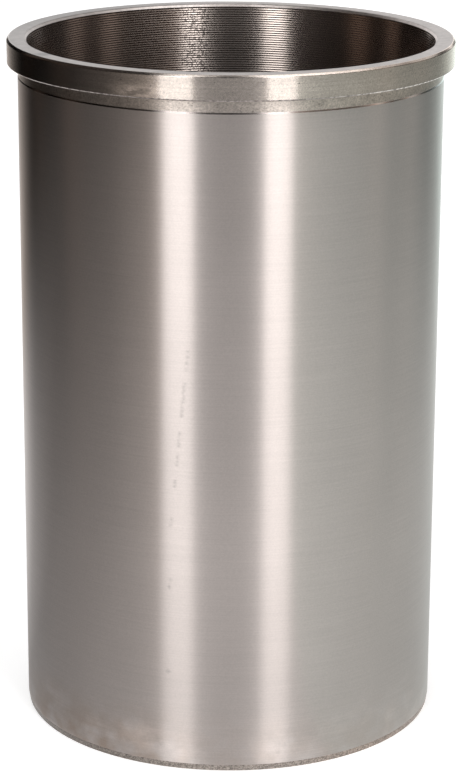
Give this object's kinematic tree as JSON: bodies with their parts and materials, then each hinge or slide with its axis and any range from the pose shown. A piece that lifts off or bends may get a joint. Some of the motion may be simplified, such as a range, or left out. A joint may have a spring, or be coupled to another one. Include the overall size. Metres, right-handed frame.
{
  "type": "cylinder liner",
  "caption": "Thin-walled round cylinder liner with a narrow flange at the top, a ground outside, a shallow relief under the flange and a plain turned bore.",
  "frame": {"origin": "centre of the foot's face, on the bore axis", "axes": "+Z along the bore axis, up to the flange"},
  "size_m": [0.0988, 0.0988, 0.155],
  "materials": {
    "cast_iron": "bare metal, ground satin outside, turned flange and bore"
  },
  "bodies": {
    "root": {"cylinder_liner": "cast_iron"}
  },
  "joints": []
}
